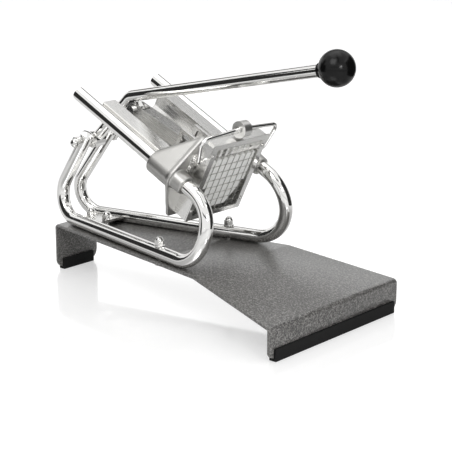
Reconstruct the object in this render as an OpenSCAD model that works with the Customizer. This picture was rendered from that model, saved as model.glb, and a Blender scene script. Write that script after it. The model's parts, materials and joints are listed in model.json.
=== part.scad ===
// Lever-operated french fry cutter: a bent tube frame on a folded stand, a
// trough between the rails, a cast head with a blade cassette, and a toggle
// lever that drives a fingered pusher through the blades.
// Millimetres. +X is the way the fries come out, +Z is up, the floor is z = 0.

/* [Stand] */
// length of the level rear part of the stand
stand_rear_len = 277.8; // [200:0.1:340]
// length of the sloping front part, along X
stand_front_len = 133.9; // [90:0.1:200]
// width at the rear edge
stand_rear_w = 66.5; // [50:0.5:120]
// width at the fold
stand_fold_w = 167; // [120:0.5:240]
// width at the front edge
stand_front_w = 228.4; // [150:0.5:300]
// height of the level part's top face
stand_rear_h = 59.4; // [40:0.1:90]
// height of the front edge's top face
stand_front_h = 37.5; // [25:0.1:60]
// sheet thickness of the stand
stand_t = 3; // [2:0.5:5]
// corner radius of the turned-down flanges
stand_corner_r = 10; // [4:1:20]
// thickness of the rubber edging that the stand stands on
foot_t = 3; // [2:0.5:5]
// height of the rubber edging
foot_h = 13.5; // [8:0.5:20]
// distance from the flange's side edge to the edging's end
foot_inset = 8; // [4:1:20]

/* [Tube frame] */
// outside diameter of the frame tubes
tube_d = 16; // [12:0.5:22]
// wall of the frame tubes
tube_wall = 1.5; // [1:0.1:3]
// distance between the two rails, centre to centre
rail_gap = 128; // [110:1:170]
// slope of the rails against the floor, in degrees
rail_slope = 26.4; // [15:0.1:40]
// rail length from its free end to the corner of the front loop
rail_len = 224.6; // [180:0.1:300]
// height of the loop's corner over the base run's centre line
loop_rise = 69.5; // [60:0.1:90]
// place of the loop's corner ahead of the stand's fold
loop_ahead = 5.4; // [-20:0.1:30]
// how far the base run's front corner leans out from the rail
loop_lean = 12.6; // [0:0.1:20]
// how far the base run's front corner is ahead of the loop's corner
loop_foot_ahead = 3.3; // [-10:0.1:20]
// bend radius of the front loop
loop_r = 42; // [30:0.5:42]
// length of the base run along X, corner to corner
base_run_len = 318.7; // [260:0.1:360]
// distance between the base runs at the rear corner, centre to centre
base_rear_gap = 21.6; // [18:0.1:60]
// bend radius at the rear
rear_r = 29; // [20:0.5:32]
// forward reach of the rear upright from the rear corner
upright_reach = 73.8; // [50:0.1:90]
// height of the lever's pivot over the base run's centre line
pivot_rise = 100.3; // [80:0.1:120]
// distance between the uprights at the pivot, centre to centre
pivot_gap = 37.2; // [34:0.1:60]
// length of tube above the pivot bolt
upright_tip = 10; // [8:0.5:20]

/* [Lever] */
// diameter of the lever's round bar
lever_d = 14; // [10:0.5:15]
// length of the lower arm, pivot to bend corner
lever_low_len = 84.7; // [60:0.1:110]
// slope of the lower arm against the floor, in degrees
lever_low_angle = 44.6; // [30:0.1:60]
// length of the upper arm, bend corner to the ball's centre
lever_up_len = 310.9; // [200:0.1:380]
// slope of the upper arm against the floor, in degrees
lever_up_angle = 12.05; // [0:0.05:30]
// bend radius of the lever
lever_bend_r = 15; // [10:0.5:30]
// diameter of the ball knob
ball_d = 40; // [30:1:50]
// outside diameter of the lever's lower eye
eye_d = 20; // [16:0.5:26]
// width of the lever's lower eye
eye_w = 16; // [15.5:0.5:18]
// diameter of the pivot bolt
pivot_d = 8; // [6:0.5:9]
// distance from the bar's centre line to the link bolt, square to the bar
lug_drop = 18.2; // [16:0.1:24]
// distance from the pivot to the link bolt, along the lower arm
lug_along = 82.3; // [60:0.1:84]
// thickness of the lever's lug
lug_t = 10; // [6:0.5:10]

/* [Link] */
// length of the link between its two centres
link_len = 92; // [80:0.5:92]
// tilt of the link against the rails, nose up, in degrees
link_tilt = 5.6; // [0:0.1:10]
// depth of the link's channel
link_depth = 18; // [16:0.5:18]
// inside width of the link's channel
link_inner_w = 11; // [10.6:0.1:13]
// wall of the link's channel
link_wall = 3; // [2:0.5:3]
// diameter of the link's bolt and cross pin
link_pin_d = 7; // [5:0.5:7]

/* [Pusher] */
// half width of the pusher
pusher_half_w = 36; // [30:0.5:37]
// height of the pusher's top edge over the rails' centre plane
pusher_top = 30; // [20:0.5:40]
// depth of the straight sides below the rails' centre plane
trough_knee = 10; // [0:0.5:15]
// depth of the trough's floor below the rails' centre plane
trough_floor = 43; // [35:0.5:46]
// half width of the trough's floor
trough_floor_half = 14; // [10:0.5:20]
// length of the fingers
finger_len = 24; // [16:0.5:26]
// side of one finger
finger_w = 8.4; // [7:0.1:8.8]
// thickness of the pusher's back plate
back_t = 8; // [5:0.5:10]
// how far the finger tips reach in between the blades at the end of the stroke
tip_reach = 7.5; // [1:0.5:8]
// thickness of each cheek behind the pusher
cheek_t = 4; // [3:0.5:6]
// upward travel of the cross pin in the cheek's slot
slot_up = 13.5; // [13:0.5:15]
// downward travel of the cross pin in the cheek's slot
slot_down = 12; // [11:0.5:14]
// rearward travel of the cross pin in the cheek's slot
slot_back = 3.5; // [3:0.5:5]

/* [Trough] */
// sheet thickness of the trough
trough_t = 2; // [1.5:0.5:3]
// height of the trough's rims over the rails' centre plane
trough_rim = 8; // [4:0.5:12]
// length of the trough in front of its free rear end
trough_len = 106; // [80:1:120]
// depth of the trough's outer lips
trough_lip = 11; // [8:0.5:14]

/* [Head] */
// distance from the loop's corner back to the flange's front face
head_back = 51; // [45:0.5:60]
// thickness of the flange
flange_t = 4; // [3:0.5:8]
// length of the head behind the flange
hood_len = 33; // [28:0.5:50]
// radius of the bosses round the rails
boss_r = 15; // [12:0.5:18]
// length of the barrel ahead of the flange
boss_nose = 15; // [10:0.5:20]
// radius of the barrel at the flange
nose_r = 12; // [11:0.5:14]
// height of the flange over the rails' centre plane
flange_up = 50; // [45:0.5:56]
// depth of the flange below the rails' centre plane
flange_down = 55; // [50:0.5:60]
// half width of the flange at its top
flange_top_half = 47; // [40:0.5:52]
// half width of the flange at its foot
flange_foot_half = 56; // [50:0.5:62]
// how far the hood's skin stands in from the flange's outline
rim_inset = 0.4; // [0.2:0.1:2]

/* [Blade cassette] */
// half width of the cassette
cass_half_w = 46; // [44:0.5:48]
// height of the cassette's top over the rails' centre plane
cass_up = 52.4; // [50:0.1:54]
// depth of the cassette's foot below the rails' centre plane
cass_down = 51; // [50:0.5:53]
// half width of the opening
win_half_w = 38; // [36.5:0.5:40]
// height of the opening over the rails' centre plane
win_up = 46; // [44:0.5:47]
// depth of the opening below the rails' centre plane
win_down = 45; // [44:0.5:46]
// depth of the cassette along the rails
cass_depth = 13; // [10:0.5:13]
// thickness of the cassette's front lip
lip_t = 1.5; // [1:0.1:2]
// spacing of the blades, which is the width of a fry
fry_w = 10; // [10:0.5:14]
// thickness of a blade
blade_t = 0.6; // [0.4:0.1:1]
// depth of one row of blades along the rails
blade_w = 4; // [3:0.5:4]
// wall of the box that holds the cassette
holder_wall = 3; // [2:0.5:4]

/* [Bail] */
// diameter of the bail's wire
bail_d = 4.5; // [3:0.5:5]
// half width of the bail at its pivots, to the wire's centre
bail_half_w = 55.5; // [55:0.5:57]
// height of the bail's pivot over the rails' centre plane
bail_pivot_up = 28; // [22:0.5:34]
// distance from the loop's corner back to the bail's pivot
bail_back = 38.5; // [38:0.5:40]
// how far each of the bail's legs leans out
bail_splay = 9; // [0:0.5:14]
// how far the bail's corners lie below its middle
bail_dip = 4; // [1:0.5:6]
// bend radius at the bail's corners
bail_r = 7; // [5:0.5:10]
// diameter of the roller on the bail
roller_d = 19.4; // [16:0.2:20]
// length of the roller
roller_len = 12; // [8:0.5:20]

/* [Fasteners] */
// distance behind the fold to the dome nuts on the base runs
nut_behind = 73; // [50:1:100]
// diameter of the studs through the base runs
stud_d = 6; // [4:0.5:8]
// width across the flats of the dome nuts
dome_af = 10; // [8:0.5:13]
// distance in from the stand's rear edge to the rear strap's centre
strap_in = 44; // [42:1:60]
// length of the rear strap along X
strap_len = 38; // [30:1:40]
// thickness of the rear strap
strap_t = 3; // [2:0.5:4]

/* [Fits] */
// radial clearance of a running pin or bolt
run_fit = 0.1; // [0.05:0.01:0.2]
// clearance between parts that slide past one another
slide_fit = 0.8; // [0.4:0.1:1.2]
// radial clearance of the head and studs round what they hold
seat_fit = 0.05; // [0.02:0.01:0.1]

/* [Hidden] */
$fn = 64;

// the rails' own frame: s runs down the rail from the loop's corner, n stands
// square off the plane through both rails
rail_half = rail_gap / 2;
run_z = stand_rear_h + tube_d / 2;
pocket = 2;                         // depth of the trough's seat in the head
corner_z = run_z + loop_rise;
plug_t = 4;
head_r = 1.7;                       // bolt head radius over bolt radius
washer_t = 1.2;

// corners of one frame tube, side = -1 for the near one and 1 for the far one
function along_rail(s, y, n) = [loop_ahead + s * cos(rail_slope) + n * sin(rail_slope), y,
                                corner_z - s * sin(rail_slope) + n * cos(rail_slope)];
run_front_x = loop_ahead + loop_foot_ahead;
run_rear_x = run_front_x - base_run_len;
pivot_x = run_rear_x + upright_reach;
pivot_z = run_z + pivot_rise;
function tube_corners(side) = [
    along_rail(-rail_len, side * rail_half, 0),
    [loop_ahead, side * rail_half, corner_z],
    [run_front_x, side * (rail_half + loop_lean), run_z],
    [run_rear_x, side * base_rear_gap / 2, run_z],
    upright_end(side)];
function upright_foot(side) = [run_rear_x, side * base_rear_gap / 2, run_z];
function upright_at_pivot(side) = [pivot_x, side * pivot_gap / 2, pivot_z];
function unit(v) = v / norm(v);
function upright_end(side) = upright_at_pivot(side)
    + upright_tip * unit(upright_at_pivot(side) - upright_foot(side));
function run_y(side, x) = side * (base_rear_gap / 2 + (rail_half + loop_lean - base_rear_gap / 2)
    * (x - run_rear_x) / base_run_len);
tube_radii = [loop_r, loop_r, rear_r];

// the stand's own x, with the fold at x = 0
stand_rear_x = -stand_rear_len;
stand_front_x = stand_front_len;

// lever
low_dir = [cos(lever_low_angle), 0, sin(lever_low_angle)];
up_dir = [cos(lever_up_angle), 0, sin(lever_up_angle)];
pivot_p = [pivot_x, 0, pivot_z];
bend_p = pivot_p + lever_low_len * low_dir;
ball_p = bend_p + lever_up_len * up_dir;
lug_p = pivot_p + lug_along * low_dir
    + lug_drop * [sin(lever_low_angle), 0, -cos(lever_low_angle)];
function rail_s(p) = (p.x - loop_ahead) * cos(rail_slope) - (p.z - corner_z) * sin(rail_slope);
function rail_n(p) = (p.x - loop_ahead) * sin(rail_slope) + (p.z - corner_z) * cos(rail_slope);
weld_gap = 1.3;                     // the lug's edge stands this far off the bar, for the weld
lug_s = rail_s(lug_p);
lug_n = rail_n(lug_p);
pin_s = lug_s + link_len * cos(link_tilt);
pin_n = lug_n + link_len * sin(link_tilt);
link_outer_w = link_inner_w + 2 * link_wall;

// cassette and blades, along s
cass_front = -head_back + holder_gap() + cass_depth;
function holder_gap() = 6;
blade_front = cass_front - lip_t;
blade_back = blade_front - 2 * blade_w;
tip_s = blade_back + tip_reach;
finger_root = tip_s - finger_len;
back_s = finger_root - back_t;

// the whole part is moved so that its box is centred on the origin
fold_corner = acos(unit(upright_foot(1) - tube_corners(1)[2])
    * unit(upright_at_pivot(1) - upright_foot(1)));
rear_tangent = rear_r * tan(fold_corner / 2);
rear_dir_in = unit(upright_foot(1) - tube_corners(1)[2]);
rear_dir_out = unit(upright_at_pivot(1) - upright_foot(1));
rear_inward = unit(rear_dir_out - rear_dir_in * (rear_dir_in * rear_dir_out));
rear_centre = upright_foot(1) - rear_tangent * rear_dir_in + rear_r * rear_inward;
box_low_x = rear_centre.x
    - rear_r * sqrt(pow(rear_dir_in.x, 2) + pow(rear_inward.x, 2)) - tube_d / 2;
box_high_x = max(ball_p.x + ball_d / 2, stand_front_x + foot_t);
shift_x = -(box_low_x + box_high_x) / 2;

// ---------------------------------------------------------------- helpers

module in_place() { translate([shift_x, 0, 0]) children(); }

module rail_frame() {
    in_place() translate([loop_ahead, 0, corner_z]) rotate([0, rail_slope, 0]) children();
}

// a shape drawn in y and n, and drawn out along s from s0 to s1
module along_s(s0, s1) {
    translate([s0, 0, 0]) rotate([90, 0, 90]) linear_extrude(height = s1 - s0) children();
}

// a round bar from p to q, or a tube where its bore is given
module bar(p, q, d, bore = 0) {
    v = q - p;
    translate(p) rotate([0, acos(v.z / norm(v)), atan2(v.y, v.x)])
        linear_extrude(height = norm(v)) ring(d, bore);
}

module ring(d, bore) {
    difference() {
        circle(d = d);
        if (bore > 0) circle(d = bore);
    }
}

// a cylinder lying along y, centred on y = 0
module pin_y(d, w) { rotate([90, 0, 0]) cylinder(d = d, h = w, center = true); }

module bend(p, d_in, d_out, r, d, bore = 0) {
    turn = acos(d_in * d_out);
    inward = unit(d_out - d_in * (d_in * d_out));
    start = p - r * tan(turn / 2) * d_in;
    c = start + r * inward;
    e1 = -inward;
    e3 = cross(e1, d_in);
    multmatrix([[e1.x, d_in.x, e3.x, c.x], [e1.y, d_in.y, e3.y, c.y],
                [e1.z, d_in.z, e3.z, c.z], [0, 0, 0, 1]])
        rotate_extrude(angle = turn) translate([r, 0]) ring(d, bore);
}

// a round bar through the points, with a bend of its own radius at each inner one;
// the straights lap a hair over the bends, which are a hair thinner
lap = 0.1;
step = 0.01;
module bent_bar(pts, radii, d, bore = 0) {
    last = len(pts) - 1;
    dirs = [for (i = [0 : last - 1]) unit(pts[i + 1] - pts[i])];
    cut = [for (i = [0 : last]) i == 0 || i == last ? 0
        : radii[i - 1] * tan(acos(dirs[i - 1] * dirs[i]) / 2) - lap];
    for (i = [0 : last - 1])
        bar(pts[i] + cut[i] * dirs[i], pts[i + 1] - cut[i + 1] * dirs[i], d, bore);
    for (i = [1 : last - 1])
        bend(pts[i], dirs[i - 1], dirs[i], radii[i - 1], d - 2 * step, bore > 0 ? bore + 2 * step : 0);
}

module hex_prism(af, h) { cylinder(d = af / cos(30), h = h, $fn = 6); }

// a dome nut standing on z = 0 with a blind thread hole
module dome_nut(af, bore) {
    hex_h = 0.55 * af;
    difference() {
        union() {
            hex_prism(af, hex_h);
            translate([0, 0, hex_h - 0.01]) rotate_extrude() intersection() {
                circle(d = 0.94 * af);
                square([af, af]);
            }
        }
        translate([0, 0, -1]) cylinder(d = bore, h = 1 + 0.75 * af);
    }
}

// the section that the trough, the pusher and the head's passage share
module passage(grow, top) {
    polygon([[-(pusher_half_w + grow), top], [-(pusher_half_w + grow), -trough_knee],
             [-(trough_floor_half + grow * 0.6), -(trough_floor - slide_fit + grow)],
             [trough_floor_half + grow * 0.6, -(trough_floor - slide_fit + grow)],
             [pusher_half_w + grow, -trough_knee], [pusher_half_w + grow, top]]);
}

// ---------------------------------------------------------------- stand

module stand_plan(x0, x1, w0, w1) {
    linear_extrude(height = 2 * stand_rear_h, center = true)
        polygon([[x0, -w0 / 2], [x1, -w1 / 2], [x1, w1 / 2], [x0, w0 / 2]]);
}

module stand_side() {
    slope = (stand_rear_h - stand_front_h) / stand_front_len;
    polygon([[stand_rear_x, foot_t], [stand_rear_x, stand_rear_h], [0, stand_rear_h],
             [stand_front_x, stand_front_h], [stand_front_x, foot_t],
             [stand_front_x - stand_t, foot_t],
             [stand_front_x - stand_t, stand_front_h + slope * stand_t - 1.02 * stand_t],
             [-0.08 * stand_t, stand_rear_h - stand_t],
             [stand_rear_x + stand_t, stand_rear_h - stand_t],
             [stand_rear_x + stand_t, foot_t]]);
}

// what a rounded lower corner leaves out of a flange
module flange_corner(x, w) {
    for (side = [-1, 1]) translate([x, side * (w / 2 - stand_corner_r), foot_t + stand_corner_r])
        rotate([0, 90, 0]) difference() {
            translate([0, side < 0 ? -stand_corner_r - 1 : 0, -1])
                cube([stand_corner_r + 1, stand_corner_r + 1, stand_t + 2]);
            translate([0, 0, -2]) cylinder(r = stand_corner_r, h = stand_t + 4);
        }
}

module stand() color([0.27, 0.28, 0.29]) in_place() difference() {
    intersection() {
        rotate([90, 0, 0]) linear_extrude(height = 2 * stand_front_w, center = true) stand_side();
        union() {
            stand_plan(stand_rear_x, 0, stand_rear_w, stand_fold_w);
            stand_plan(0, stand_front_x, stand_fold_w, stand_front_w);
        }
    }
    flange_corner(stand_rear_x, stand_rear_w);
    flange_corner(stand_front_x - stand_t, stand_front_w);
    for (side = [-1, 1]) {
        translate([-nut_behind, run_y(side, -nut_behind), 0])
            cylinder(d = stud_d + 2 * seat_fit, h = 2 * stand_rear_h);
    }
    for (x = strap_spots) translate([x, 0, 0])
        cylinder(d = stud_d + 2 * seat_fit, h = 2 * stand_rear_h);
}

// rubber edging pushed over a flange's lower edge; x0 is the flange's rear face
module foot(x0, w) color([0.07, 0.07, 0.07]) in_place() {
    len_y = w - 2 * foot_inset;
    difference() {
        translate([x0 - foot_t, -len_y / 2, 0]) cube([stand_t + 2 * foot_t, len_y, foot_h]);
        translate([x0, -w, foot_t]) cube([stand_t, 2 * w, foot_h]);
    }
}

module front_foot() foot(stand_front_x - stand_t, stand_front_w);
module rear_foot() foot(stand_rear_x, stand_rear_w);

// ---------------------------------------------------------------- tube frame

module frame_tube(side) color([0.82, 0.82, 0.82]) in_place() difference() {
    bent_bar(tube_corners(side), tube_radii, tube_d, tube_d - 2 * tube_wall);
    translate(upright_at_pivot(side)) pin_y(pivot_d + 2 * run_fit, 3 * tube_d);
    translate([-nut_behind, run_y(side, -nut_behind), 0])
        cylinder(d = stud_d + 2 * seat_fit, h = run_z + tube_d);
}

module near_frame_tube() frame_tube(-1);
module far_frame_tube() frame_tube(1);

// a domed plug whose shank fills the tube's mouth; its rim sits on z = 0
module tube_plug() {
    rotate_extrude() intersection() {
        union() {
            translate([0, -2 * plug_t]) square([tube_d / 2 - tube_wall, 2 * plug_t]);
            translate([0, -tube_d]) circle(r = tube_d * 1.13);
        }
        union() {
            translate([0, -2 * plug_t]) square([tube_d / 2 - tube_wall, 2 * plug_t]);
            square([tube_d / 2 - 0.2, plug_t]);
        }
    }
}

module rail_end_plugs() color([0.8, 0.8, 0.8]) rail_frame()
    for (side = [-1, 1]) translate([-rail_len, side * rail_half, 0]) rotate([0, -90, 0]) tube_plug();

module upright_end_plugs() color([0.8, 0.8, 0.8]) in_place() for (side = [-1, 1]) {
    v = unit(upright_at_pivot(side) - upright_foot(side));
    difference() {
        translate(upright_end(side)) rotate([0, acos(v.z), atan2(v.y, v.x)]) tube_plug();
        translate(upright_at_pivot(side)) pin_y(pivot_d + 2 * run_fit, 2 * tube_d);
    }
}

// ---------------------------------------------------------------- base fasteners

stud_top = run_z + tube_d / 2 + 0.7 * dome_af;
module stud_under(x, y, top) {
    under = stand_rear_h - stand_t;
    translate([x, y, under - 0.35 * dome_af]) {
        hex_prism(dome_af, 0.35 * dome_af);
        cylinder(d = stud_d, h = top - under + 0.35 * dome_af);
    }
}

module base_studs() color([0.7, 0.7, 0.7]) in_place() for (side = [-1, 1])
    stud_under(-nut_behind, run_y(side, -nut_behind), stud_top);

module base_run(side) bar(upright_foot(side), tube_corners(side)[2], tube_d + 2 * seat_fit);

module base_dome_nuts() color([0.75, 0.75, 0.75]) in_place() for (side = [-1, 1]) {
    seat = [-nut_behind, run_y(side, -nut_behind), run_z + tube_d / 2 - 0.3];
    difference() {
        translate(seat) cylinder(d = 1.25 * dome_af, h = washer_t);
        translate(seat - [0, 0, 1]) cylinder(d = stud_d, h = washer_t + 2);
        base_run(side);
    }
    translate(seat + [0, 0, washer_t]) dome_nut(dome_af, stud_d);
}

// the strap is a plate set between the two base runs, held down by two studs
strap_x = stand_rear_x + strap_in;
strap_spots = [strap_x - 0.36 * strap_len, strap_x + 0.36 * strap_len];
module rear_strap() color([0.78, 0.78, 0.78]) in_place() difference() {
    x0 = strap_x - strap_len / 2;
    x1 = strap_x + strap_len / 2;
    translate([0, 0, run_z - strap_t / 2]) linear_extrude(height = strap_t)
        polygon([[x0, run_y(-1, x0)], [x1, run_y(-1, x1)], [x1, run_y(1, x1)], [x0, run_y(1, x0)]]);
    for (side = [-1, 1]) base_run(side);
    for (x = strap_spots) translate([x, 0, 0]) cylinder(d = stud_d + 2 * seat_fit, h = 2 * run_z);
}

module rear_strap_screws() color([0.7, 0.7, 0.7]) in_place() for (x = strap_spots) {
    top = run_z + strap_t / 2;
    stud_under(x, 0, top + 0.7 * dome_af);
    translate([x, 0, top]) dome_nut(dome_af, stud_d);
}

// ---------------------------------------------------------------- lever

upright_half = pivot_gap / 2 + tube_d / 2;
// the uprights lean out, so the bolt's head and nut stand off by what they rise
upright_lean = (pivot_gap - base_rear_gap) / 2 / norm([upright_reach, pivot_rise]);
nut_seat = upright_half + 0.1 + pivot_d * upright_lean;
module pivot_bolt() color([0.72, 0.72, 0.72]) in_place() translate(pivot_p) {
    translate([0, nut_seat + 1, 0]) rotate([90, 0, 0])
        cylinder(d = pivot_d, h = 2 * nut_seat + 1 + 0.6 * dome_af);
    translate([0, nut_seat, 0]) rotate([-90, 0, 0]) hex_prism(1.6 * pivot_d, 0.6 * pivot_d);
}

module pivot_dome_nut() color([0.75, 0.75, 0.75]) in_place()
    translate(pivot_p - [0, nut_seat, 0]) rotate([90, 0, 0]) dome_nut(1.6 * pivot_d, pivot_d);

// each spacer's outer end is hollowed to sit on its upright
module pivot_spacers() color([0.7, 0.7, 0.7]) in_place() for (side = [-1, 1]) difference() {
    gap = pivot_gap / 2 - tube_d / 2 - eye_w / 2;
    translate(pivot_p + [0, side * (eye_w / 2 + gap / 2), 0]) difference() {
        pin_y(1.5 * pivot_d, gap - 2 * run_fit);
        pin_y(pivot_d + 2 * run_fit, 2 * gap);
    }
    bar(upright_foot(side), upright_end(side), tube_d + 2 * seat_fit);
}

module lever_bar() color([0.83, 0.83, 0.83]) in_place() difference() {
    union() {
        bent_bar([pivot_p + 0.3 * eye_d * low_dir, bend_p, ball_p - 0.32 * ball_d * up_dir],
                 [lever_bend_r], lever_d);
        translate(pivot_p) pin_y(eye_d, eye_w);
    }
    translate(pivot_p) pin_y(pivot_d + 2 * run_fit, 2 * eye_w);
}

// the lug is a plate welded into the lever's elbow
module lever_lug() color([0.8, 0.8, 0.8]) in_place() difference() {
    union() {
        translate(lug_p) pin_y(link_depth - 1, lug_t);
        translate(pivot_p) rotate([0, -lever_low_angle, 0])
            translate([lug_along - 0.45 * link_depth, -lug_t / 2, -lug_drop])
                cube([0.9 * link_depth, lug_t, lug_drop - lever_d / 2 + 1]);
    }
    translate(lug_p) pin_y(link_pin_d + 2 * run_fit, 2 * lug_t);
    bar(pivot_p, bend_p + 8 * low_dir, lever_d + weld_gap);
    bar(bend_p - 8 * up_dir, bend_p + 40 * up_dir, lever_d + weld_gap);
}

module ball_stud() color([0.7, 0.7, 0.7]) in_place()
    bar(ball_p - 0.32 * ball_d * up_dir, ball_p + 0.1 * ball_d * up_dir, 0.66 * lever_d);

module ball_knob() color([0.05, 0.05, 0.05]) in_place() translate(ball_p) difference() {
    union() {
        sphere(d = ball_d);
        rotate([0, 90 - lever_up_angle, 0]) translate([0, 0, -0.56 * ball_d])
            cylinder(d1 = 1.2 * lever_d, d2 = 1.4 * lever_d, h = 0.3 * ball_d);
    }
    bar(-ball_d * up_dir, -0.32 * ball_d * up_dir, lever_d);
    bar(-ball_d * up_dir, 0.1 * ball_d * up_dir, 0.66 * lever_d);
}

// ---------------------------------------------------------------- link

module link_frame() rail_frame() translate([lug_s, 0, lug_n]) rotate([0, -link_tilt, 0]) children();

// an upside-down channel with round ends, straddling the lug
module link_channel() color([0.62, 0.62, 0.62]) link_frame() difference() {
    union() {
        pin_y(link_depth, link_outer_w);
        translate([link_len, 0, 0]) pin_y(link_depth, link_outer_w);
        translate([0, -link_outer_w / 2, -link_depth / 2]) cube([link_len, link_outer_w, link_depth]);
    }
    translate([-link_depth, -link_inner_w / 2, -link_depth])
        cube([link_len + 2 * link_depth, link_inner_w, 1.5 * link_depth - link_wall]);
    translate([-link_depth, -link_inner_w / 2, -link_depth])
        cube([1.9 * link_depth, link_inner_w, 2 * link_depth]);
    pin_y(link_pin_d + 2 * run_fit, 2 * link_outer_w);
    translate([link_len, 0, 0]) pin_y(link_pin_d + 2 * run_fit, 2 * link_outer_w);
}

module link_bolt() color([0.75, 0.75, 0.75]) link_frame() {
    pin_y(link_pin_d, link_outer_w + 0.4);
    translate([0, link_outer_w / 2, 0]) rotate([-90, 0, 0])
        cylinder(d = link_pin_d, h = 0.6 * dome_af);
    translate([0, -link_outer_w / 2 - 0.1, 0]) rotate([90, 0, 0])
        cylinder(d = head_r * link_pin_d, h = 0.45 * link_pin_d);
}

module link_dome_nut() color([0.75, 0.75, 0.75]) link_frame()
    translate([0, link_outer_w / 2 + 0.1, 0]) rotate([-90, 0, 0]) dome_nut(dome_af, link_pin_d);

// the cross pin rides in the pusher's slots, where the linkage is open
pin_half = link_outer_w / 2 + slide_fit + cheek_t - 0.3;
module link_cross_pin() color([0.7, 0.7, 0.7]) link_frame() translate([link_len, 0, 0])
    pin_y(link_pin_d, 2 * pin_half);

// ---------------------------------------------------------------- pusher

cols = ceil(win_half_w / fry_w);
rows_up = ceil(win_up / fry_w);
rows_down = ceil(win_down / fry_w);

// cell centres, with a blade between each two
function cell(i) = (i + 0.5) * fry_w;

module pusher_fingers() color([0.9, 0.9, 0.88]) rail_frame() {
    for (i = [-cols : cols - 1], j = [-rows_down : rows_up - 1]) {
        y = cell(i);
        n = cell(j);
        inside = n + finger_w / 2 <= pusher_top + 1 && abs(y) < pusher_half_w
            && abs(y) - pusher_half_w < (n + trough_knee)
                * (pusher_half_w - trough_floor_half) / (trough_floor - trough_knee)
            && n > -trough_floor;
        if (inside) along_s(finger_root - 0.01, tip_s) intersection() {
            translate([y, n]) square(finger_w, center = true);
            passage(-0.4, pusher_top);
        }
    }
    along_s(finger_root - 0.5 * back_t, finger_root) passage(-0.2, pusher_top);
}

module pusher_back() color([0.85, 0.85, 0.84]) rail_frame() difference() {
    union() {
        along_s(back_s, finger_root - 0.5 * back_t) passage(0, pusher_top);
        for (side = [-1, 1]) {
            y0 = link_outer_w / 2 + slide_fit;
            translate([pin_s - slot_back - 1.3 * link_pin_d, side > 0 ? y0 : -y0 - cheek_t,
                       pin_n - slot_down - link_pin_d])
                cube([back_s - pin_s + slot_back + 1.3 * link_pin_d + 0.5, cheek_t,
                      slot_up + slot_down + 2 * link_pin_d]);
        }
    }
    cross_slot();
    for (p = screw_spots) along_s(back_s - 1, finger_root)
        translate(p) circle(d = 4 + 2 * seat_fit);
}

// room for the cross pin: its radius plus the travel that the open joint needs
module cross_slot() {
    r = link_pin_d / 2 + run_fit;
    for (n = [-slot_down, slot_up], s = [-slot_back, 1])
        translate([pin_s + s, 0, pin_n + n]) pin_y(2 * r, 4 * link_outer_w);
    translate([pin_s - slot_back, -2 * link_outer_w, pin_n - slot_down - r])
        cube([slot_back + 1, 4 * link_outer_w, slot_up + slot_down + 2 * r]);
    translate([pin_s - slot_back - r, -2 * link_outer_w, pin_n - slot_down])
        cube([slot_back + 1 + 2 * r, 4 * link_outer_w, slot_up + slot_down]);
}

screw_spots = [[-0.75 * pusher_half_w, 0.6 * pusher_top], [0.75 * pusher_half_w, 0.6 * pusher_top],
               [-0.6 * pusher_half_w, -0.4 * trough_floor], [0.6 * pusher_half_w, -0.4 * trough_floor]];
module pusher_screws() color([0.7, 0.7, 0.7]) rail_frame() for (p = screw_spots) {
    along_s(back_s, finger_root - 0.5 * back_t) translate(p) circle(d = 4);
    along_s(back_s - 3, back_s) translate(p) circle(d = 8);
}

// ---------------------------------------------------------------- trough

trough_front = -head_back - flange_t - hood_len + pocket;
trough_rear = trough_front - trough_len;
lip_half = rail_half - tube_d / 2 - seat_fit;
module trough() color([0.85, 0.85, 0.85]) rail_frame() difference() {
    inner = slide_fit;
    rim0 = pusher_half_w + inner;
    along_s(trough_rear, trough_front) {
        difference() {
            passage(inner + trough_t, trough_rim);
            passage(inner, trough_rim + 1);
        }
        for (side = [-1, 1]) {
            translate([side > 0 ? rim0 : -lip_half, trough_rim - trough_t])
                square([lip_half - rim0, trough_t]);
            translate([side > 0 ? lip_half - trough_t : -lip_half, trough_rim - trough_lip])
                square([trough_t, trough_lip]);
        }
    }
    // the lips stop short of the head, and the channel alone runs into it
    along_s(trough_front - pocket - 2 * seat_fit, trough_front + 1) for (side = [-1, 1])
        translate([side > 0 ? rim0 + trough_t : -lip_half - 1, trough_rim - trough_lip - 1])
            square([lip_half + 1 - rim0 - trough_t, trough_lip + 2]);
}

// ---------------------------------------------------------------- head

module flange_outline(in) {
    w0 = rail_half + boss_r - in;
    hull() {
        for (side = [-1, 1]) {
            translate([side * (rail_half - in), 0]) circle(r = boss_r, $fn = 32);
            translate([side * (flange_top_half - 5 - in), flange_up - 5 - in]) circle(r = 5, $fn = 32);
            translate([side * (flange_foot_half - 4 - in), 4 - flange_down + in]) circle(r = 4, $fn = 32);
        }
    }
}

module hood_side(side) {
    front = -head_back - flange_t + 0.5;
    boss = boss_r - rim_inset;
    hull() {
        along_s(front - 1, front) {
            translate([side * rail_half, 0]) circle(r = boss, $fn = 32);
            translate([side * (flange_top_half - 5), flange_up - 5])
                circle(r = 5 - rim_inset, $fn = 32);
        }
        along_s(front - hood_len, front - hood_len + 1) {
            translate([side * rail_half, 0]) circle(r = boss, $fn = 32);
            translate([side * (pusher_half_w + slide_fit + trough_t + 4), trough_rim + 4])
                circle(r = 3, $fn = 32);
        }
    }
}

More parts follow.
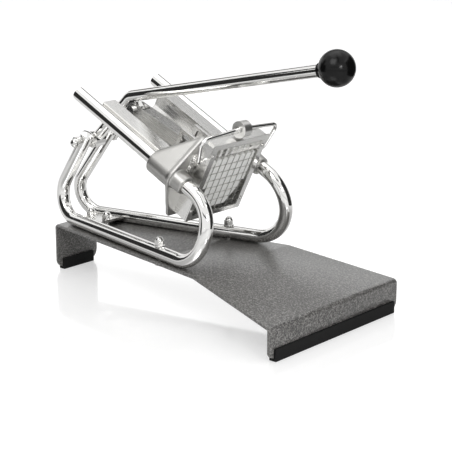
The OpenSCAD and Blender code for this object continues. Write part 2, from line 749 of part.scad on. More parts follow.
module head_casting() color([0.88, 0.87, 0.85]) rail_frame() difference() {
    rear = -head_back - flange_t - hood_len;
    union() {
        along_s(-head_back - flange_t, -head_back) flange_outline(0);
        for (side = [-1, 1]) {
            hood_side(side);
            translate([-head_back - 0.01, side * rail_half, 0]) rotate([0, 90, 0])
                cylinder(r1 = nose_r, r2 = nose_r - 0.8, h = boss_nose);
        }
        along_s(rear + 0.3, -head_back - flange_t + 0.3) difference() {
            union() {
                passage(slide_fit + trough_t + 4, 0);
                translate([-rail_half, -boss_r * 0.6]) square([2 * rail_half, boss_r * 0.6]);
            }
            passage(slide_fit, 1);
        }
    }
    along_s(rear - 1, -head_back + 1) passage(slide_fit, 2 * flange_up);
    along_s(rear - 1, rear + pocket + seat_fit) passage(slide_fit + trough_t + seat_fit, 2 * flange_up);
    for (side = [-1, 1]) {
        rail_bore(side);
        translate([rear + 0.5 * hood_len, side * rail_half, -boss_r - 1]) cylinder(d = 5 + 2 * seat_fit, h = boss_r);
    }
}

module rail_bore(side) {
    translate([-head_back - flange_t - hood_len - 1, side * rail_half, 0]) rotate([0, 90, 0])
        cylinder(d = tube_d + 2 * seat_fit, h = hood_len + flange_t + boss_nose + 2);
}

module head_set_screws() color([0.6, 0.6, 0.6]) rail_frame() for (side = [-1, 1])
    translate([-head_back - flange_t - 0.5 * hood_len, side * rail_half, -boss_r - 1.5])
        difference() {
            cylinder(d = 5, h = boss_r + 1.5 - tube_d / 2);
            translate([0, 0, -1]) hex_prism(2.5, 3);
        }

// ---------------------------------------------------------------- cassette

holder_front = cass_front - lip_t - 0.1;
holder_in = cass_half_w - 3 + 0.1;
module holder_ring(half, up, down) { translate([-half, -down]) square([2 * half, up + down]); }

module cassette_holder() color([0.75, 0.75, 0.75]) rail_frame() difference() {
    union() {
        along_s(-head_back, holder_front)
            holder_ring(holder_in + holder_wall, cass_up - 3.2, cass_down - 1);
        for (side = [-1, 1]) translate([-bail_back, side * (holder_in + holder_wall), bail_pivot_up])
            pin_y(2 * bail_d, 4);
        along_s(-head_back, -head_back + 2) for (side = [-1, 1])
            translate([side > 0 ? holder_in : -holder_in - 12, 9]) square([12, 22]);
    }
    along_s(-head_back + 2, holder_front + 1)
        holder_ring(holder_in, 2 * cass_up, cass_down - 1 - holder_wall);
    along_s(-head_back - 1, holder_front) passage(slide_fit, win_up);
    translate([-bail_back, 0, bail_pivot_up]) pin_y(bail_d + 2 * run_fit, 4 * holder_in);
    holder_screw_holes(4 + 2 * seat_fit);
}

ear_screw_n = [13, 26];
module holder_screw_holes(d) along_s(-head_back - 3, -head_back + 3)
    for (side = [-1, 1], n = ear_screw_n) translate([side * (holder_in + 8), n]) circle(d = d);

module holder_screws() color([0.7, 0.7, 0.7]) rail_frame() {
    for (side = [-1, 1], n = ear_screw_n) {
        along_s(-head_back + 2, -head_back + 4.6) translate([side * (holder_in + 8), n]) circle(d = 7.2);
        along_s(-head_back, -head_back + 2.1) translate([side * (holder_in + 8), n]) circle(d = 4);
    }
}

module cassette_frame() color([0.8, 0.8, 0.8]) rail_frame() difference() {
    along_s(cass_front - cass_depth, cass_front - lip_t)
        holder_ring(cass_half_w - 3, cass_up - 0.5, cass_down - 4.3);
    along_s(cass_front - cass_depth - 1, cass_front) holder_ring(win_half_w, win_up, win_down);
    blade_slots(0.02);
}

module cassette_lip() color([0.86, 0.86, 0.86]) rail_frame() difference() {
    along_s(cass_front - lip_t, cass_front) holder_ring(cass_half_w, cass_up, cass_down);
    along_s(cass_front - lip_t - 1, cass_front + 1) holder_ring(win_half_w, win_up, win_down);
}

// slots in the frame's walls that the blades' ends sit in
bite = 2;
module upright_set(grow) for (i = [1 - cols : cols - 1])
    along_s(blade_front - blade_w, blade_front) translate([i * fry_w - blade_t / 2 - grow, -win_down - bite])
        square([blade_t + 2 * grow, win_up + win_down + 2 * bite]);
module level_set(grow) for (j = [1 - rows_down : rows_up - 1])
    along_s(blade_back, blade_front - blade_w)
        translate([-win_half_w - bite, j * fry_w - blade_t / 2 - grow])
            square([2 * (win_half_w + bite), blade_t + 2 * grow]);
module blade_slots(grow) { upright_set(grow); level_set(grow); }

module upright_blades() color([0.75, 0.76, 0.78]) rail_frame() upright_set(0);
module level_blades() color([0.75, 0.76, 0.78]) rail_frame() level_set(0);

module blade_pins() color([0.7, 0.7, 0.7]) rail_frame() for (side = [-1, 1], up = [-1, 1])
    along_s(cass_front, cass_front + 1.2)
        translate([side * (cass_half_w + win_half_w) / 2, up > 0 ? win_up - 8 : 8 - win_down]) circle(d = 4);

// ---------------------------------------------------------------- bail

// the roller just clears the cassette's top front corner as the bail swings
roller_n = bail_pivot_up + norm([cass_front + bail_back, cass_up - bail_pivot_up])
    + roller_d / 2 + slide_fit / 2;
module bail_wire() color([0.75, 0.75, 0.75]) rail_frame() {
    pin_in = holder_in + 0.4;
    flat = roller_len / 2 + 8;
    corner_y = bail_half_w + bail_splay;
    half = [[pin_in, bail_pivot_up], [bail_half_w, bail_pivot_up],
            [corner_y, roller_n - bail_dip], [flat, roller_n]];
    bent_bar([for (i = [0 : 3]) [-bail_back, -half[i].x, half[i].y],
              for (i = [0 : 3]) [-bail_back, half[3 - i].x, half[3 - i].y]],
             [bail_d, bail_r, 3 * bail_r, 3 * bail_r, bail_r, bail_d], bail_d);
}

module bail_bushes() color([0.6, 0.6, 0.6]) rail_frame() for (side = [-1, 1])
    translate([-bail_back, side * (holder_in + holder_wall + 2.7), bail_pivot_up]) difference() {
        pin_y(1.7 * bail_d, 1);
        pin_y(bail_d + 2 * run_fit, 3);
    }

module bail_roller() color([0.72, 0.72, 0.7]) rail_frame() translate([-bail_back, 0, roller_n])
    difference() {
        pin_y(roller_d, roller_len);
        pin_y(bail_d + 2 * run_fit, 2 * roller_len);
    }

module roller_collars() color([0.6, 0.6, 0.6]) rail_frame() for (side = [-1, 1])
    translate([-bail_back, side * (roller_len / 2 + 1.3), roller_n]) difference() {
        pin_y(1.8 * bail_d, 2);
        pin_y(bail_d, 4);
    }

stand();
front_foot();
rear_foot();
near_frame_tube();
far_frame_tube();
rail_end_plugs();
upright_end_plugs();
base_studs();
base_dome_nuts();
rear_strap();
rear_strap_screws();
pivot_bolt();
pivot_dome_nut();
pivot_spacers();
lever_bar();
lever_lug();
ball_knob();
ball_stud();
link_channel();
link_bolt();
link_dome_nut();
link_cross_pin();
pusher_fingers();
pusher_back();
pusher_screws();
trough();
head_casting();
head_set_screws();
cassette_holder();
holder_screws();
cassette_frame();
cassette_lip();
upright_blades();
level_blades();
blade_pins();
bail_wire();
bail_bushes();
bail_roller();
roller_collars();
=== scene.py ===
# %% [markdown]
# # A lever-operated french fry cutter
# The machine is a bent tube frame on a folded sheet stand. A long lever drives
# a fingered pusher down a sloping trough, through a grid of blades in a cast
# head. The measured solids come first, as a fixed frame. What follows dresses
# them: each cell adds one finish or one piece.

# %% Load the measured solids
import json
import math

import bmesh
import bpy
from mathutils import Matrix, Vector


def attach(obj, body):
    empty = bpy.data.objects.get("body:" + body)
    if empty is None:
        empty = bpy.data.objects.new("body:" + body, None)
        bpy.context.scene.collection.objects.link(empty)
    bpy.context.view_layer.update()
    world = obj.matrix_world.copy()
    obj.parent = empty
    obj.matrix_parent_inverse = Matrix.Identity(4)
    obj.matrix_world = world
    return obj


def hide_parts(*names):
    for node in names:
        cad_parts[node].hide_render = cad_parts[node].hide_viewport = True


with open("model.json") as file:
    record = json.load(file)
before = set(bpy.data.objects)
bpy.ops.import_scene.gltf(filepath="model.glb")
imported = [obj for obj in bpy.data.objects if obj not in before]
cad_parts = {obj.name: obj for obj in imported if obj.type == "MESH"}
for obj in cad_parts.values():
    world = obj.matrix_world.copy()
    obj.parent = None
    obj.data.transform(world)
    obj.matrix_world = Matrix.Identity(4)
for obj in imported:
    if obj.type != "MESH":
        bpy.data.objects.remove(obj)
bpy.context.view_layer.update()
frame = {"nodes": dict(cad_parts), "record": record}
nodes = frame["nodes"]

# %% [markdown]
# The camera stands where the photographer's did. Its place and lens come from
# matching the rails, the base runs and the stand's edges to their known
# sizes. A long lens from over a metre away keeps parallel tubes nearly
# parallel, as a studio picture does.

# %% Camera
EYE = Vector((1.09496, -1.1954, 0.5284))
LOOK = Vector((-0.6364, 0.7252, -0.2629))
LENS_MM = 115.13

camera_data = bpy.data.cameras.new("camera")
camera_data.lens = LENS_MM
camera_data.sensor_width = 36
camera = bpy.data.objects.new("camera", camera_data)
bpy.context.scene.collection.objects.link(camera)
camera.location = EYE
camera.rotation_euler = LOOK.to_track_quat("-Z", "Y").to_euler()
bpy.context.scene.camera = camera
bpy.context.scene.view_settings.view_transform = "Standard"
print("camera at", tuple(EYE), "lens", LENS_MM, "mm")

# %% [markdown]
# A material is a small graph of nodes. These helpers keep the graphs short to
# read: one adds a node and fills in its inputs, one makes an empty node group
# with named sockets, and one makes a material with its Principled BSDF.

# %% Helpers for node graphs
def add(tree, kind, values=None, **settings):
    made = tree.nodes.new(kind)
    for name, value in settings.items():
        setattr(made, name, value)
    for name, value in (values or {}).items():
        if hasattr(value, "is_output"):
            tree.links.new(value, made.inputs[name])
        else:
            made.inputs[name].default_value = value
    return made


def new_group(name, inputs, outputs):
    group = bpy.data.node_groups.new(name, "ShaderNodeTree")
    for label, default in inputs:
        socket = group.interface.new_socket(
            name=label, in_out="INPUT", socket_type="NodeSocketFloat")
        socket.default_value = default
    for label, kind in outputs:
        group.interface.new_socket(name=label, in_out="OUTPUT", socket_type=kind)
    return group, group.nodes.new("NodeGroupInput"), group.nodes.new("NodeGroupOutput")


def new_material(name, **sockets):
    material = bpy.data.materials.new(name)
    material.use_nodes = True
    shader = material.node_tree.nodes["Principled BSDF"]
    for label, value in sockets.items():
        shader.inputs[label.replace("_", " ")].default_value = value
    return material, material.node_tree, shader


def place(tree, group, **values):
    made = add(tree, "ShaderNodeGroup", node_tree=group)
    for label, value in values.items():
        made.inputs[label.replace("_", " ")].default_value = value
    return made


print("helpers ready")

# %% [markdown]
# Real edges are never razor sharp: handling rounds and brightens them. The
# Bevel node returns the normal that a slightly rounded edge would have. Where
# that differs from the true normal there is an edge, and the difference is a
# mask. One group gives both, for every finish.

# %% Shared effect: rounded, worn edges
edge_group, gin, gout = new_group(
    "worn edge", [("Radius", 0.0006), ("Break up", 900.0)],
    [("Mask", "NodeSocketFloat"), ("Normal", "NodeSocketVector")])
rounded = add(edge_group, "ShaderNodeBevel", {"Radius": gin.outputs["Radius"]}, samples=4)
true_normal = add(edge_group, "ShaderNodeNewGeometry")
agree = add(edge_group, "ShaderNodeVectorMath", operation="DOT_PRODUCT")
edge_group.links.new(rounded.outputs[0], agree.inputs[0])
edge_group.links.new(true_normal.outputs["Normal"], agree.inputs[1])
spread = add(edge_group, "ShaderNodeMapRange",
             {"Value": agree.outputs["Value"], "From Min": 0.995, "From Max": 0.9})
where = add(edge_group, "ShaderNodeTexCoord")
patchy = add(edge_group, "ShaderNodeTexNoise",
             {"Vector": where.outputs["Object"], "Scale": gin.outputs["Break up"],
              "Detail": 3.0})
worn = add(edge_group, "ShaderNodeMath", operation="MULTIPLY")
edge_group.links.new(spread.outputs[0], worn.inputs[0])
edge_group.links.new(patchy.outputs[0], worn.inputs[1])
edge_group.links.new(worn.outputs[0], gout.inputs["Mask"])
edge_group.links.new(rounded.outputs[0], gout.inputs["Normal"])
print("group:", edge_group.name)

# %% [markdown]
# Rolled and ground sheet has fine lines along the way it went through the
# rollers, here down the slope of the rails. Noise that is squeezed across
# that direction and stretched along it gives such lines.

# %% Shared effect: grain down the rails
RAIL_SLOPE = math.radians(26.4)
grain_group, gin, gout = new_group(
    "rail grain", [("Fineness", 2600.0)], [("Lines", "NodeSocketFloat")])
where = add(grain_group, "ShaderNodeTexCoord")
turned = add(grain_group, "ShaderNodeMapping",
             {"Vector": where.outputs["Object"], "Rotation": (0, -RAIL_SLOPE, 0)})
drawn = add(grain_group, "ShaderNodeMapping",
            {"Vector": turned.outputs[0], "Scale": (0.012, 1, 1)})
lines = add(grain_group, "ShaderNodeTexNoise",
            {"Vector": drawn.outputs[0], "Scale": gin.outputs["Fineness"], "Detail": 4.0})
grain_group.links.new(lines.outputs[0], gout.inputs["Lines"])
print("group:", grain_group.name)

# %% [markdown]
# Hands leave a film on polished metal. It can't be seen as colour, but it
# makes the shine a little duller in soft patches.

# %% Shared effect: handling film
film_group, gin, gout = new_group(
    "handling film", [("Patch", 28.0), ("Least", 0.05), ("Most", 0.12)],
    [("Roughness", "NodeSocketFloat")])
where = add(film_group, "ShaderNodeTexCoord")
patches = add(film_group, "ShaderNodeTexNoise",
              {"Vector": where.outputs["Object"], "Scale": gin.outputs["Patch"], "Detail": 5.0})
duller = add(film_group, "ShaderNodeMapRange",
             {"Value": patches.outputs[0], "From Min": 0.35, "From Max": 0.7,
              "To Min": gin.outputs["Least"], "To Max": gin.outputs["Most"]})
film_group.links.new(duller.outputs[0], gout.inputs["Roughness"])
print("group:", film_group.name)

# %% [markdown]
# Most finishes mix a body colour towards an edge colour by the wear mask and
# add a fine bump over the rounded normal. This helper wires that once, with
# the Principled BSDF itself staying in the material.

# %% Wiring that finishes share
def wire_edges(tree, shader, body, edge, radius, bump_source=None, bump_mm=0.0):
    worn_edge = place(tree, edge_group, Radius=radius)
    tint = add(tree, "ShaderNodeMix", data_type="RGBA")
    tree.links.new(worn_edge.outputs["Mask"], tint.inputs[0])
    if hasattr(body, "is_output"):
        tree.links.new(body, tint.inputs[6])
    else:
        tint.inputs[6].default_value = (*body, 1)
    tint.inputs[7].default_value = (*edge, 1)
    tree.links.new(tint.outputs[2], shader.inputs["Base Color"])
    normal = worn_edge.outputs["Normal"]
    if bump_source is not None:
        bump = add(tree, "ShaderNodeBump",
                   {"Height": bump_source, "Normal": normal, "Distance": bump_mm / 1000})
        normal = bump.outputs[0]
    tree.links.new(normal, shader.inputs["Normal"])


def add_film(tree, shader, least, most, patch=28.0):
    film = place(tree, film_group, Least=least, Most=most, Patch=patch)
    tree.links.new(film.outputs[0], shader.inputs["Roughness"])


print("wiring ready")

# %% [markdown]
# The frame tubes, lever and bail are bright polished steel. Its colour is
# nearly white, and what is seen is the room: so the finish is mostly a low
# roughness that varies a little.

# %% Polished steel
polished, tree, shader = new_material("polished steel", Metallic=1.0)
add_film(tree, shader, 0.03, 0.10)
wire_edges(tree, shader, (0.84, 0.835, 0.82), (0.93, 0.925, 0.91), 0.0004)
print("finish:", polished.name)

# %% [markdown]
# Bolts and dome nuts are plated: a little darker and softer than the tubes,
# with the film in smaller patches because the parts are small.

# %% Plated fasteners
plated, tree, shader = new_material("plated fastener", Metallic=1.0)
add_film(tree, shader, 0.10, 0.24, patch=160.0)
wire_edges(tree, shader, (0.70, 0.695, 0.68), (0.92, 0.915, 0.90), 0.0004)
print("finish:", plated.name)

# %% [markdown]
# Trough, link and cassette are stainless sheet with a satin grain. The grain
# drives both the roughness and a very shallow bump.

# %% Satin sheet
def satin_sheet(name, colour, low, high, fineness=2600.0):
    material, tree, shader = new_material(name, Metallic=1.0)
    grain = place(tree, grain_group, Fineness=fineness)
    rough = add(tree, "ShaderNodeMapRange",
                {"Value": grain.outputs[0], "From Min": 0.3, "From Max": 0.7,
                 "To Min": low, "To Max": high})
    tree.links.new(rough.outputs[0], shader.inputs["Roughness"])
    wire_edges(tree, shader, colour, (0.93, 0.93, 0.92), 0.0004, grain.outputs[0], 0.02)
    return material


sheet = satin_sheet("satin sheet", (0.78, 0.775, 0.76), 0.14, 0.30)
link_steel = satin_sheet("link sheet", (0.64, 0.635, 0.62), 0.20, 0.34)
roller_steel = satin_sheet("roller steel", (0.68, 0.675, 0.66), 0.26, 0.40)
blade_steel = satin_sheet("blade steel", (0.76, 0.755, 0.74), 0.14, 0.24, 4200.0)
print("finishes:", sheet.name, link_steel.name, roller_steel.name, blade_steel.name)

# %% [markdown]
# The head is cast light alloy, tumbled until it shines softly. It keeps a fine
# sandy skin and slow changes of tone, and its corners are brighter where they
# rub. It is a metal, so its front mirrors the dark side of the room.

# %% Cast alloy
cast, tree, shader = new_material("cast alloy", Metallic=0.85, Roughness=0.30)
where = add(tree, "ShaderNodeTexCoord")
sand = add(tree, "ShaderNodeTexNoise",
           {"Vector": where.outputs["Object"], "Scale": 1500.0, "Detail": 4.0})
cloud = add(tree, "ShaderNodeTexNoise",
            {"Vector": where.outputs["Object"], "Scale": 30.0, "Detail": 3.0})
tone = add(tree, "ShaderNodeMix", data_type="RGBA")
tree.links.new(cloud.outputs[0], tone.inputs[0])
tone.inputs[6].default_value = (0.38, 0.375, 0.36, 1)
tone.inputs[7].default_value = (0.47, 0.465, 0.45, 1)
wire_edges(tree, shader, tone.outputs[2], (0.88, 0.875, 0.86), 0.001, sand.outputs[0], 0.05)
print("finish:", cast.name)

# %% [markdown]
# The stand wears hammered paint: the wet paint draws up into small cells with
# raised rims, each a millimetre or two across. Voronoi cells have that form.
# The same pattern lightens the colour on the rims: the dark colour is the
# paint's own, the light one a painted highlight for the light the rims catch.

# %% Hammered paint
hammered, tree, shader = new_material("hammered paint", Coat_Weight=0.9, Coat_Roughness=0.30)
where = add(tree, "ShaderNodeTexCoord")
cells = add(tree, "ShaderNodeTexVoronoi",
            {"Vector": where.outputs["Object"], "Scale": 620.0}, feature="SMOOTH_F1")
fleck = add(tree, "ShaderNodeTexNoise",
            {"Vector": where.outputs["Object"], "Scale": 980.0, "Detail": 2.0})
uneven = add(tree, "ShaderNodeMath", operation="MULTIPLY")
tree.links.new(cells.outputs["Distance"], uneven.inputs[0])
tree.links.new(fleck.outputs[0], uneven.inputs[1])
# Mask of the rims, where the colour is lightened as a painted highlight.
rim_highlight_mask = add(tree, "ShaderNodeMapRange",
            {"Value": uneven.outputs[0], "From Min": 0.13, "From Max": 0.38})
# Dark paint mixed towards a painted rim highlight by the mask.
paint = add(tree, "ShaderNodeMix", data_type="RGBA")
tree.links.new(rim_highlight_mask.outputs[0], paint.inputs[0])
paint.inputs[6].default_value = (0.036, 0.035, 0.033, 1)
paint.inputs[7].default_value = (0.29, 0.281, 0.269, 1)
shine = add(tree, "ShaderNodeMapRange",
            {"Value": fleck.outputs[0], "From Min": 0.3, "From Max": 0.7,
             "To Min": 0.30, "To Max": 0.55})
tree.links.new(shine.outputs[0], shader.inputs["Roughness"])
wire_edges(tree, shader, paint.outputs[2], (0.17, 0.165, 0.16), 0.0012, uneven.outputs[0], 0.6)
print("finish:", hammered.name)

# %% [markdown]
# Three plain bodies remain: rubber edging, the glossy ball and the pusher's
# pale moulded fingers. None is one flat colour: rubber has a dusty grain, the
# ball a faint film, and the moulding a slight mottle.

# %% Rubber, glossy ball and moulded plastic
def mottled(name, dark, light, scale, bump_mm, radius, edge, **sockets):
    material, tree, shader = new_material(name, **sockets)
    where = add(tree, "ShaderNodeTexCoord")
    mottle = add(tree, "ShaderNodeTexNoise",
                 {"Vector": where.outputs["Object"], "Scale": scale, "Detail": 4.0})
    mix = add(tree, "ShaderNodeMix", data_type="RGBA")
    tree.links.new(mottle.outputs[0], mix.inputs[0])
    mix.inputs[6].default_value = (*dark, 1)
    mix.inputs[7].default_value = (*light, 1)
    wire_edges(tree, shader, mix.outputs[2], edge, radius, mottle.outputs[0], bump_mm)
    return material, tree, shader


rubber, _, _ = mottled("rubber edging", (0.003, 0.003, 0.003), (0.010, 0.010, 0.010),
                       700.0, 0.06, 0.0008, (0.02, 0.02, 0.02), Roughness=0.60,
                       Specular_IOR_Level=0.2)
ball_black, tree, shader = mottled(
    "glossy black", (0.002, 0.002, 0.002), (0.005, 0.005, 0.005), 60.0, 0.004, 0.0008,
    (0.01, 0.01, 0.01), Specular_IOR_Level=0.22)
add_film(tree, shader, 0.12, 0.22)
moulded, _, _ = mottled("pale moulding", (0.80, 0.80, 0.775), (0.88, 0.88, 0.855),
                        240.0, 0.02, 0.0005, (0.88, 0.88, 0.86), Roughness=0.38)
print("finishes:", rubber.name, ball_black.name, moulded.name)

# %% [markdown]
# Each solid takes the finish of its slot in the record. Two have a finish of
# their own: the link's sheet is duller than the trough's, and the roller is
# turned steel.

# %% Give every solid its finish
FINISHES = {
    "hammered_paint": hammered, "rubber_edging": rubber, "polished_steel": polished,
    "sheet_steel": sheet, "cast_alloy": cast, "plated_fastener": plated,
    "blade_steel": blade_steel, "black_knob": ball_black, "light_plastic": moulded,
}
slot_of = {part["node"]: part["material_slot"] for part in frame["record"]["subparts"]}
OWN_FINISH = {"link_channel": link_steel, "bail_roller": roller_steel}


def finish_of(node):
    return OWN_FINISH.get(node, FINISHES[slot_of[node]])


for name, solid in nodes.items():
    solid.data.materials.clear()
    solid.data.materials.append(finish_of(name))
    for face in solid.data.polygons:
        face.material_index = 0
print("finished solids:", len(nodes))

# %% [markdown]
# Some solids are right in size but too crisp for the real thing. A copy of
# the solid can be softened and shown in its place. The copy first needs
# joined vertices and whole flat faces, or a bevel has no clean edge to work
# on.

# %% Copy a solid as clean mesh
WELD = 2e-6


def clean_copy(node, name, flat_deg=0.4):
    mesh = nodes[node].data.copy()
    mesh.name = name
    made = bpy.data.objects.new(name, mesh)
    bpy.context.scene.collection.objects.link(made)
    work = bmesh.new()
    work.from_mesh(mesh)
    bmesh.ops.remove_doubles(work, verts=work.verts, dist=WELD)
    bmesh.ops.dissolve_limit(work, angle_limit=math.radians(flat_deg),
                             verts=work.verts, edges=work.edges)
    work.to_mesh(mesh)
    work.free()
    return made


def apply_modifiers(made):
    bpy.context.view_layer.update()
    shape = bpy.data.meshes.new_from_object(
        made.evaluated_get(bpy.context.evaluated_depsgraph_get()))
    made.modifiers.clear()
    made.data = shape


def dress(made, node, body):
    made.data.materials.clear()
    made.data.materials.append(finish_of(node))
    for face in made.data.polygons:
        face.use_smooth = True
    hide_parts(node)
    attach(made, body)
    print(made.name, "faces:", len(made.data.polygons))


# %% [markdown]
# The stand is one sheet, bent down in a press at both ends, so its two folds
# are round outside. A bevel along each fold's outer edge gives that radius,
# and a finer one rounds the sheet's cut edges. A Weighted Normal modifier keeps
# the flat faces flat to the eye beside the round ones.

# %% The stand, with pressed folds
FOLD_RADIUS = 0.0044
CUT_EDGE = 0.0007
FOLDS = [(0.2047636, 0.0375), (-0.2069364, 0.0594)]  # x and z of the outer edges
stand = clean_copy("stand", "stand_sheet")
work = bmesh.new()
work.from_mesh(stand.data)


def on_fold(edge):
    return any(all(abs(v.co.x - x) < 1e-4 and abs(v.co.z - z) < 1e-4 for v in edge.verts)
               for x, z in FOLDS)


fold_edges = [edge for edge in work.edges if on_fold(edge)]
bmesh.ops.bevel(work, geom=fold_edges, offset=FOLD_RADIUS, segments=6, profile=0.5,
                affect="EDGES")
work.to_mesh(stand.data)
work.free()
print("folds rounded:", len(fold_edges))
trim = stand.modifiers.new("cut edges", "BEVEL")
trim.width = CUT_EDGE
trim.segments = 2
trim.limit_method = "ANGLE"
trim.angle_limit = math.radians(50)
trim.use_clamp_overlap = True
flat_look = stand.modifiers.new("flat look", "WEIGHTED_NORMAL")
flat_look.keep_sharp = True
apply_modifiers(stand)
dress(stand, "stand", "frame")

# %% [markdown]
# A casting has no sharp corner anywhere, because the mould needs draft and
# fillets. Remeshing the copy into small even cells and smoothing them rounds
# every corner a little, inside and out.

# %% The head, with cast fillets
CELL = 0.0009
head = clean_copy("head_casting", "cast_head")
cells = head.modifiers.new("cells", "REMESH")
cells.mode = "VOXEL"
cells.voxel_size = CELL
soften = head.modifiers.new("soften", "SMOOTH")
soften.factor = 0.5
soften.iterations = 3
apply_modifiers(head)
dress(head, "head_casting", "frame")

# %% [markdown]
# The lug is welded to the lever. A weld is a row of overlapping beads, so it
# is made of short rings set a little apart and swollen in the middle of each
# bead. It lies in the gap that the solids leave for it. The lever's pivot is
# where the record puts the hinge.

# %% The weld between lug and lever
JOINTS = {joint["name"]: joint for joint in frame["record"]["behaviour"]["joints"]}
PIVOT = Vector(JOINTS["lever_hinge"]["pos_m"])
LOW_ANGLE = math.radians(44.6)
LOW_DIR = Vector((math.cos(LOW_ANGLE), 0, math.sin(LOW_ANGLE)))
DOWN = Vector((math.sin(LOW_ANGLE), 0, -math.cos(LOW_ANGLE)))
LEVER_RADIUS = 0.007
LUG_HALF = 0.005
WELD_FROM, WELD_TO = 0.0755, 0.0815
BEAD, BEADS, RING = 0.0011, 6, 10
STEPS_PER_BEAD = 4
SUNK = 0.0014  # how far the weld's middle lies inside the bar
INSET = 0.0006  # and inside the lug's side


def weld_bead(side, name):
    work = bmesh.new()
    rings = []
    steps = BEADS * STEPS_PER_BEAD
    for k in range(steps + 1):
        t = k / steps
        along = WELD_FROM + (WELD_TO - WELD_FROM) * t
        swell = BEAD * (0.78 + 0.22 * abs(math.sin(math.pi * BEADS * t)))
        middle = PIVOT + LOW_DIR * along + DOWN * (LEVER_RADIUS - SUNK)
        middle = middle + Vector((0, side * (LUG_HALF - INSET), 0))
        ring = []
        for a in range(RING):
            turn = 2 * math.pi * a / RING
            ring.append(work.verts.new(
                middle + DOWN * (swell * math.cos(turn))
                + Vector((0, swell * math.sin(turn), 0))))
        rings.append(ring)
    for lower, upper in zip(rings, rings[1:]):
        for a in range(RING):
            b = (a + 1) % RING
            work.faces.new((lower[a], lower[b], upper[b], upper[a]))
    work.faces.new(rings[0][::-1])
    work.faces.new(rings[-1])
    bmesh.ops.recalc_face_normals(work, faces=work.faces)
    mesh = bpy.data.meshes.new(name)
    work.to_mesh(mesh)
    work.free()
    made = bpy.data.objects.new(name, mesh)
    bpy.context.scene.collection.objects.link(made)
    mesh.materials.append(plated)
    for face in mesh.polygons:
        face.use_smooth = True
    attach(made, "lever")
    return made


for side, name in ((-1, "weld_near"), (1, "weld_far")):
    weld_bead(side, name)
print("weld beads:", 2 * BEADS)

# %% [markdown]
# The picture is a studio one: white all round, and a floor that mirrors the
# machine faintly. The floor is a white sheet with a thin gloss round the
# machine that fades to matt further out. Extra white is added for camera rays
# only, so it lights nothing.

# %% Floor
FLOOR_SIZE, FLOOR_DROP = 12, 0.0002
GLOSS_TO, MATT_FROM = 0.34, 0.50  # distances from the machine's middle
GLOSS_SHARE, GLOSS_ROUGHNESS = 0.34, 0.07
CAMERA_LIFT = 0.44
bpy.ops.mesh.primitive_plane_add(size=FLOOR_SIZE, location=(0, 0, -FLOOR_DROP))
floor = bpy.context.object
floor.name = "floor"
floor_finish, tree, shader = new_material(
    "studio floor", Base_Color=(0.93, 0.93, 0.93, 1), Roughness=0.5)
gloss = add(tree, "ShaderNodeBsdfGlossy", {"Color": (1, 1, 1, 1), "Roughness": GLOSS_ROUGHNESS})
where = add(tree, "ShaderNodeTexCoord")
away = add(tree, "ShaderNodeVectorMath", operation="LENGTH")
tree.links.new(where.outputs["Object"], away.inputs[0])
fade = add(tree, "ShaderNodeMapRange",
           {"Value": away.outputs["Value"], "From Min": GLOSS_TO,
            "From Max": MATT_FROM, "To Min": GLOSS_SHARE, "To Max": 0.0},
           interpolation_type="SMOOTHSTEP")
blend = add(tree, "ShaderNodeMixShader", {"Fac": fade.outputs[0]})
seen = add(tree, "ShaderNodeLightPath")
lift = add(tree, "ShaderNodeEmission", {"Color": (1, 1, 1, 1)})
strength = add(tree, "ShaderNodeMath", operation="MULTIPLY")
strength.inputs[1].default_value = CAMERA_LIFT
both = add(tree, "ShaderNodeAddShader")
out = tree.nodes["Material Output"]
tree.links.new(shader.outputs[0], blend.inputs[1])
tree.links.new(gloss.outputs[0], blend.inputs[2])
tree.links.new(seen.outputs["Is Camera Ray"], strength.inputs[0])
tree.links.new(strength.outputs[0], lift.inputs["Strength"])
tree.links.new(blend.outputs[0], both.inputs[0])
tree.links.new(lift.outputs[0], both.inputs[1])
tree.links.new(both.outputs[0], out.inputs["Surface"])
floor.data.materials.append(floor_finish)
print("floor ready")

# %% [markdown]
# Polished metal looks like metal only if it has something dark to mirror. A
# photographer of bright tubes stands black flags close by, just outside the
# picture: they draw a dark line along each edge of a tube. Here they are seen
# by mirror rays alone, so they cast no shadow and the camera looks through
# them.

# %% Dark cards for the polished tubes
card_finish = bpy.data.materials.new("black card")
card_finish.use_nodes = True
card_tree = card_finish.node_tree
card_tree.nodes.clear()
card_out = add(card_tree, "ShaderNodeOutputMaterial")
card_black = add(card_tree, "ShaderNodeEmission", {"Color": (0.03, 0.03, 0.03, 1)})
card_tree.links.new(card_black.outputs[0], card_out.inputs["Surface"])

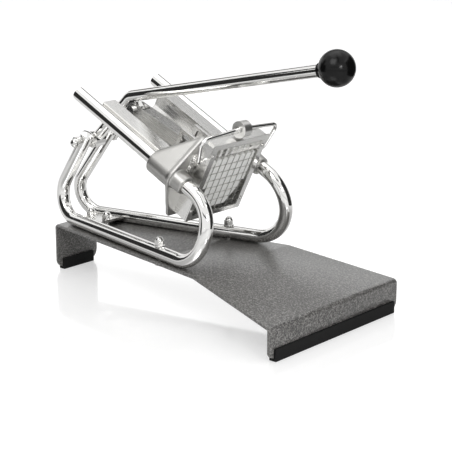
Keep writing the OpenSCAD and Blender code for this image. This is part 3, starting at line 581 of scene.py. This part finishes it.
CARD_AIM = Vector((0, 0, 0.15))
CARDS = [  # centre, width and height
    ((-0.40, -0.35, 0.28), (0.60, 0.42)),
    ((0.42, 0.37, 0.28), (0.75, 0.62)),
    ((-1.25, 1.43, 1.45), (3.2, 0.55)),
    ((1.05, -1.20, 0.70), (2.8, 0.09)),
    ((-1.9, -1.1, 0.9), (0.7, 1.6)),
    ((0.7, -0.5, 2.2), (0.25, 2.2)),
]
for k, (centre, (width, height)) in enumerate(CARDS):
    bpy.ops.mesh.primitive_plane_add(size=1, location=centre)
    card = bpy.context.object
    card.name = f"black_card_{k}"
    card.scale = (width, height, 1)
    card.rotation_euler = (CARD_AIM - Vector(centre)).to_track_quat("Z", "Y").to_euler()
    card.visible_camera = False
    card.visible_diffuse = False
    card.visible_shadow = False
    card.data.materials.append(card_finish)
print("cards:", len(CARDS))

# %% [markdown]
# The room itself is a plain white world. Camera and mirror rays see it at
# strength one, and it lights the object more gently, so that the lamps can
# give the form.

# %% World and lamps
WORLD_LIGHT, WORLD_SEEN = 0.45, 1.0
world = bpy.data.worlds.new("studio")
bpy.context.scene.world = world
world.use_nodes = True
tree = world.node_tree
tree.nodes.clear()
seen = add(tree, "ShaderNodeLightPath")
mirror_or_eye = add(tree, "ShaderNodeMath", operation="MAXIMUM")
tree.links.new(seen.outputs["Is Camera Ray"], mirror_or_eye.inputs[0])
tree.links.new(seen.outputs["Is Glossy Ray"], mirror_or_eye.inputs[1])
level = add(tree, "ShaderNodeMapRange",
            {"Value": mirror_or_eye.outputs[0], "To Min": WORLD_LIGHT, "To Max": WORLD_SEEN})
sky = add(tree, "ShaderNodeBackground", {"Color": (1, 1, 1, 1), "Strength": level.outputs[0]})
world_out = add(tree, "ShaderNodeOutputWorld")
tree.links.new(sky.outputs[0], world_out.inputs["Surface"])

LAMP_AIM = Vector((0, 0, 0.12))
LAMPS = [  # name, place, size, watts
    ("key", (0.3, -1.5, 1.9), 1.2, 15),
    ("fill", (1.8, 0.9, 1.3), 1.4, 6),
    ("top", (-0.3, 0.2, 2.2), 1.6, 8),
    ("spark", (1.38, -0.64, 0.70), 0.25, 4.0),
]
for name, spot, size, watts in LAMPS:
    lamp_data = bpy.data.lights.new(name, "AREA")
    lamp_data.size = size
    lamp_data.energy = watts
    lamp = bpy.data.objects.new(name, lamp_data)
    bpy.context.scene.collection.objects.link(lamp)
    lamp.location = spot
    lamp.rotation_euler = (LAMP_AIM - Vector(spot)).to_track_quat("-Z", "Y").to_euler()
print("lamps:", [lamp[0] for lamp in LAMPS])
